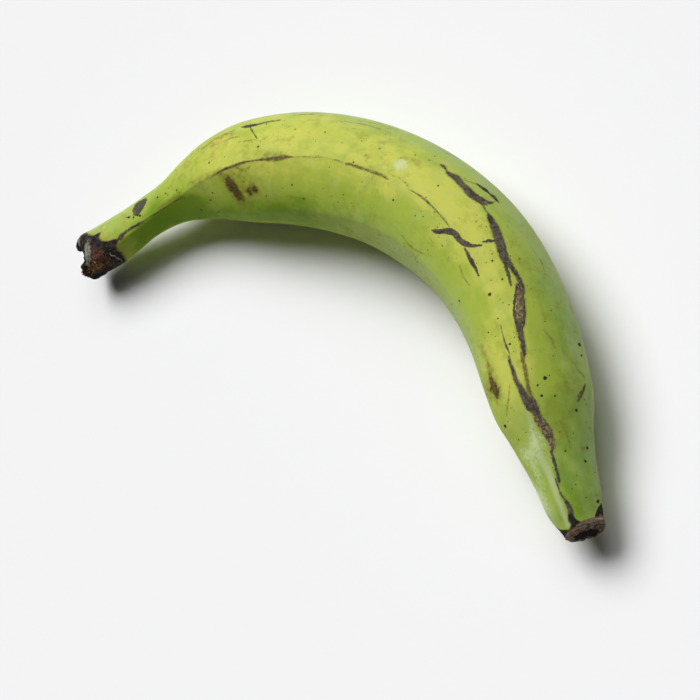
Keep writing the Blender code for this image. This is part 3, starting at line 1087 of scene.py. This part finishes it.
def paint_stains(peel):
    """Smudges, short scratches, freckles and small specks."""
    there = peel.blots(24, 0.4, 0.62, shift=300)
    peel.paint(OLIVE_SMUDGE, there, peel.blots(4.5, 0.48, 0.68, 6, 0.75, shift=500), 0.55)
    scratches = peel.blots(1.1, 0.66, 0.73, 3, 0.6, stretch=0.22, shift=700)
    peel.paint(OLIVE_BROWN, scratches, there, 0.7)
    clusters = peel.blots(13, 0.4, 0.56, 2, shift=900)
    tiny = peel.times(peel.speckles(1.7, 0.3, 0.3), clusters, 0.85)
    small = peel.times(peel.speckles(4.1, 0.42, 0.22), 0.85)
    large = peel.times(peel.speckles(9, 0.5, 0.1), 0.7)
    peel.paint(FRECKLE, peel.most(tiny, small, large))


def paint_bruises(peel):
    """Brown bruises with an olive halo, and pale wax spots."""
    bruise = peel.number("bruise")
    there = peel.step(bruise, 0.02, 0.3)
    blotches = peel.add(bruise, peel.waver(2.2, 1.1, 6))
    peel.paint(OLIVE_BROWN, there, peel.step(blotches, -0.1, 0.9), 0.7)
    worn = peel.at_least(0.6, peel.blots(1, 0.35, 0.6, 4, 0.7))
    peel.paint(BRUISE_BROWN, there, peel.step(blotches, 0.6, 1.1), worn)
    waxy = peel.step(peel.uneven("pale", 1.2, 0.7, 4), 0.2, 0.9)
    peel.paint(PALE_WAX, peel.step(peel.number("pale"), 0.02, 0.3), waxy, 0.75)


def paint_scars(peel):
    """Scars and dots, and how corky they make each place."""
    broken = peel.blots(1.3, 0.34, 0.54, 4, 0.7, shift=1100)
    peel.paint(OLIVE_BROWN, peel.line_mask("olive_lines", 0.7, 0.5), broken, 0.8)
    worn = peel.at_least(0.45, broken)
    brown = peel.times(peel.line_mask("brown_lines", 0.7, 0.45), worn)
    peel.paint(BROWN_SCAR, brown, 0.9)
    grey = peel.step(peel.uneven("grey", 1.5, 0.6, 4), 0.35, 0.6)
    crust = peel.mix(GREY_SCAR, SCAR_GREY, peel.blots(0.9, 0.45, 0.65, 5, 0.75))
    peel.paint(crust, grey, 0.95)
    cork = peel.line_mask("corky_patches", 1.1, 0.35)
    peel.paint(peel.mix(DARK_CORK, LIGHT_CORK, peel.blots(1.1, 0.4, 0.62, 5, 0.75)), cork)
    near = peel.step(peel.line_edge("heavy_scars", 0.5), -1, 0.1)
    peel.paint(OLIVE_BROWN, near, 0.5)
    peel.paint(SCAR_GREY, near, peel.blots(0.9, 0.5, 0.62, 4, 0.7, shift=200), 0.7)
    dark = peel.most(
        peel.line_mask("heavy_scars", 0.85, 0.25),
        peel.line_mask("branch_scars", 0.7, 0.25),
        peel.line_mask("dark_lines", 0.6, 0.22),
        peel.times(peel.line_mask("fine_dark_lines", 0.3, 0.2), worn, 0.9),
    )
    light = peel.times(peel.blots(1.2, 0.36, 0.6, 5, 0.75), peel.blots(5, 0.25, 0.55))
    peel.paint(peel.mix(SCAR_DARK, SCAR_GREY, light), dark)
    peel.paint(DOT_BROWN, peel.dot_mask("dots", 0.35, 0.2))
    return peel.most(dark, cork, grey, peel.times(brown, 0.6))


def paint_dead_ends(peel):
    """The dead skin of both ends and the torn flesh, and how dead each place is."""
    inside = peel.uneven("dead_crown", 6, 1.6, 5)
    crown = peel.step(inside, -0.8, 1)
    skin = peel.mix(DEAD_PURPLE, DEAD_BLACK, peel.blots(2.4, 0.38, 0.62, 6, 0.75))
    flesh = peel.mix(DEAD_BLACK, DEAD_RUST, peel.step(peel.uneven("rust", 1.4, 1.6, 6), 0.4, 1.3))
    flesh = peel.mix(flesh, STRAND_DARK, peel.blots(0.8, 0.66, 0.74, 3, 0.6), 0.5)
    streaks = peel.blots(0.9, 0.4, 0.62, 4, 0.7, stretch=2.5)
    strands = peel.mix(STRAND_DARK, STRAND_GREY, streaks)
    flesh = peel.mix(flesh, strands, peel.line_mask("strands", 0.9, 0.4))
    peel.paint(peel.mix(skin, flesh, peel.step(inside, 3, 7)), crown)
    tip = peel.step(peel.uneven("dead_tip", 2.5, 0.9, 5), -0.5, 0.4)
    peel.paint(peel.mix(TIP_BLACK, CAP_DARK, peel.blots(1.1, 0.4, 0.7, 5, 0.75)), tip)
    return peel.most(crown, tip)


def rough_material(name, low, high, size):
    """Dull dry matter between two colours, with light and dark spots of a size."""
    dry = Paint(name, low)
    dry.place = dry.node("TexCoord", {}, "Object")
    dry.paint(high, dry.blots(size * MM, 0.35, 0.65, 4, 0.7))
    return dry.finish(SCAR_ROUGHNESS)


def cap_material():
    """The dry flower scar: grey-brown, wrinkled, and nearly black underneath."""
    cap = Paint("dry_cap", CAP_DARK)
    cap.place = cap.vector("unbent")
    wrinkles = cap.noise(1.4, 5, 0.7, stretch=3)
    cap.paint(CAP_GREY, cap.step(wrinkles, 0.35, 0.68))
    cap.paint(CAP_TAN, cap.blots(4, 0.45, 0.6), 0.6)
    charred = cap.mix(DEAD_BLACK, CAP_DARK, cap.step(wrinkles, 0.5, 0.75))
    cap.paint(charred, cap.step(cap.uneven("underside", 1.6, 0.5, 5), 0.3, 0.7))
    cap.paint(CAP_EDGE, cap.step(cap.uneven("edge", 1.5, 0.5, 4), 0.6, 1), 0.7)
    cap.relief(0.9, 3 * BUMP_HEIGHT, wrinkles, cap.noise(0.6, 4, 0.7))
    return cap.finish(SCAR_ROUGHNESS)


# ---- pieces


def make_skin():
    """The whole fruit's skin, with its marks as fields that the material reads."""
    skin = whole_skin()
    fields = skin_fields(skin)
    skin.raise_by(skin_relief(skin, fields))
    mesh = closed_mesh(skin, "peel")
    for name, values in fields.items():
        add_field(mesh, name, values)
    add_piece(mesh, peel_material())
    return skin


def make_cap():
    """The dry flower scar: a wrinkled cap with a sunken middle, set over the end of the peel."""
    out, share = face_loops(CAP_FACE, CAP_LOOPS)
    out, share = np.concatenate([[CAP_FACE[0][0]], out]), np.concatenate([[0], share])
    share[-1] = 0
    angles = np.linspace(0, 2 * math.pi, CAP_SIDES, endpoint=False)
    cap = Surface(0 * out + 1, share, out, angles)
    rim = ramp(share, 0.4, 0.8)[:, None]
    creases = bumps(cap.unbent * (0.5, 1, 1), 2.2, 4)
    folds = bumps(cap.unbent * (3, 1, 1) + 70, 3, 4)
    lobes = bumps(cap.unbent * (0, 1, 1) + 30, 9, 2)
    inner = (share > 0)[:, None]
    ahead, outwards = CAP_CREASES
    cap.slide(rim * CAP_LOBES * lobes + ahead * creases * inner)
    cap.raise_by(outwards * creases * inner + rim * CAP_FOLDS * folds)
    mesh = closed_mesh(cap, "dry_cap")
    add_field(mesh, "unbent", cap.unbent)
    outside = (np.arange(len(out)) < np.argmax(out))[:, None]
    underside = np.where(outside, 0, 1 - ramp(share, 0.5, 0.8)[:, None])
    add_field(mesh, "underside", underside + 0 * cap.along)
    edge = np.exp(-(((out - CAP_EDGE_AT) / 0.4) ** 2))[:, None] * outside
    add_field(mesh, "edge", edge + 0 * cap.along)
    add_piece(mesh, cap_material())


def make_grains(skin):
    """Brown grains of dried flesh on the torn crown."""
    chance = random.Random(GRAIN_SEED)
    grains = []
    for along, degrees, reach_along, reach_round, count, size in GRAINS:
        for _ in range(count):
            mm, turn = chance.gauss(along, reach_along / 2), chance.gauss(degrees, reach_round / 2)
            place = over_skin(skin, mm, turn, 0.15 * size)
            grains.append(grain(place, size * chance.uniform(0.6, 1.4)))
    material = rough_material("dried_flesh", GRAIN_BROWN, GRAIN_TAN, 1.5)
    add_piece(joined_mesh(grains, "crown_grains"), material)


def make_strands(skin):
    """Pale dry strands: one that has curled off the crown, and a bundle that lies on it."""
    chance = random.Random(GRAIN_SEED)
    curl = np.array([over_skin(skin, *place) for place in CURLED_STRAND])
    strands = [strand(curl, CURLED_RADIUS)]
    for _ in range(BUNDLE_COUNT):
        ahead, turn = (chance.uniform(-spread, spread) for spread in BUNDLE_SPREAD)
        path = [
            over_skin(skin, along + ahead + chance.gauss(0, 0.3), degrees + turn, chance.gauss(0, 0.1))
            for along, degrees in BUNDLE
        ]
        strands.append(strand(np.array(path), BUNDLE_RADIUS))
    material = rough_material("dry_strands", STRAND_DARK, STRAND_GREY, 1.2)
    add_piece(joined_mesh(strands, "crown_strands"), material)


# ---- floor, lights and camera


def make_floor():
    mesh = bpy.data.meshes.new("floor")
    half = FLOOR_SIZE / 2
    corners = [(-half, -half, 0), (half, -half, 0), (half, half, 0), (-half, half, 0)]
    mesh.from_pydata(corners, [], [(0, 1, 2, 3)])
    mesh.materials.append(Paint("pale_floor", FLOOR_COLOUR).finish(FLOOR_ROUGHNESS, 0.0))
    add_object("floor", mesh)


def direction(azimuth, elevation):
    """The direction from the object to something seen at that azimuth and elevation."""
    a, e = math.radians(azimuth), math.radians(elevation)
    return Vector((math.sin(a) * math.cos(e), -math.cos(a) * math.cos(e), math.sin(e)))


def facing_object(towards, distance, roll=0.0):
    """The place and turn of a camera or light that looks at the target from a direction."""
    right = Vector((0, 0, 1)).cross(towards).normalized()
    turn = Matrix((right, towards.cross(right), towards)).transposed().to_4x4()
    place = Vector(CAMERA_TARGET) * MM + towards * distance
    return Matrix.Translation(place) @ turn @ Matrix.Rotation(roll, 4, "Z")


def make_light(name, azimuth, elevation, breadth, strength):
    light = bpy.data.lights.new(name, "SUN")
    light.angle = math.radians(breadth)
    light.energy = strength
    add_object(name, light).matrix_world = facing_object(direction(azimuth, elevation), 1)


def make_world():
    """Even white light from all round, strongest at the horizon."""
    world = bpy.data.worlds.new("studio")
    studio = Nodes(world, "Background")
    generated = studio.node("TexCoord", {}, "Generated")
    low, high = HORIZON
    sockets = {
        "Value": studio.node("SeparateXYZ", {0: generated}, "Z"),
        "From Min": low,
        "From Max": high,
        "To Min": HORIZON_LIGHT,
        "To Max": SKY_LIGHT,
    }
    studio.put("Strength", studio.node("MapRange", sockets, interpolation_type="SMOOTHSTEP"))
    studio.put("Color", WHITE)
    bpy.context.scene.world = world
    bpy.context.scene.view_settings.view_transform = "Standard"


def make_camera():
    camera = bpy.data.cameras.new("camera")
    camera.lens = FOCAL_LENGTH
    holder = add_object("camera", camera)
    towards = direction(CAMERA_AZIMUTH, CAMERA_ELEVATION)
    holder.matrix_world = facing_object(towards, CAMERA_DISTANCE, math.radians(CAMERA_ROLL))
    bpy.context.scene.camera = holder


# ---- the scene

make_world()
make_camera()
make_floor()
for lamp in LIGHTS:
    make_light(*lamp)
SKIN = make_skin()
make_cap()
make_grains(SKIN)
make_strands(SKIN)
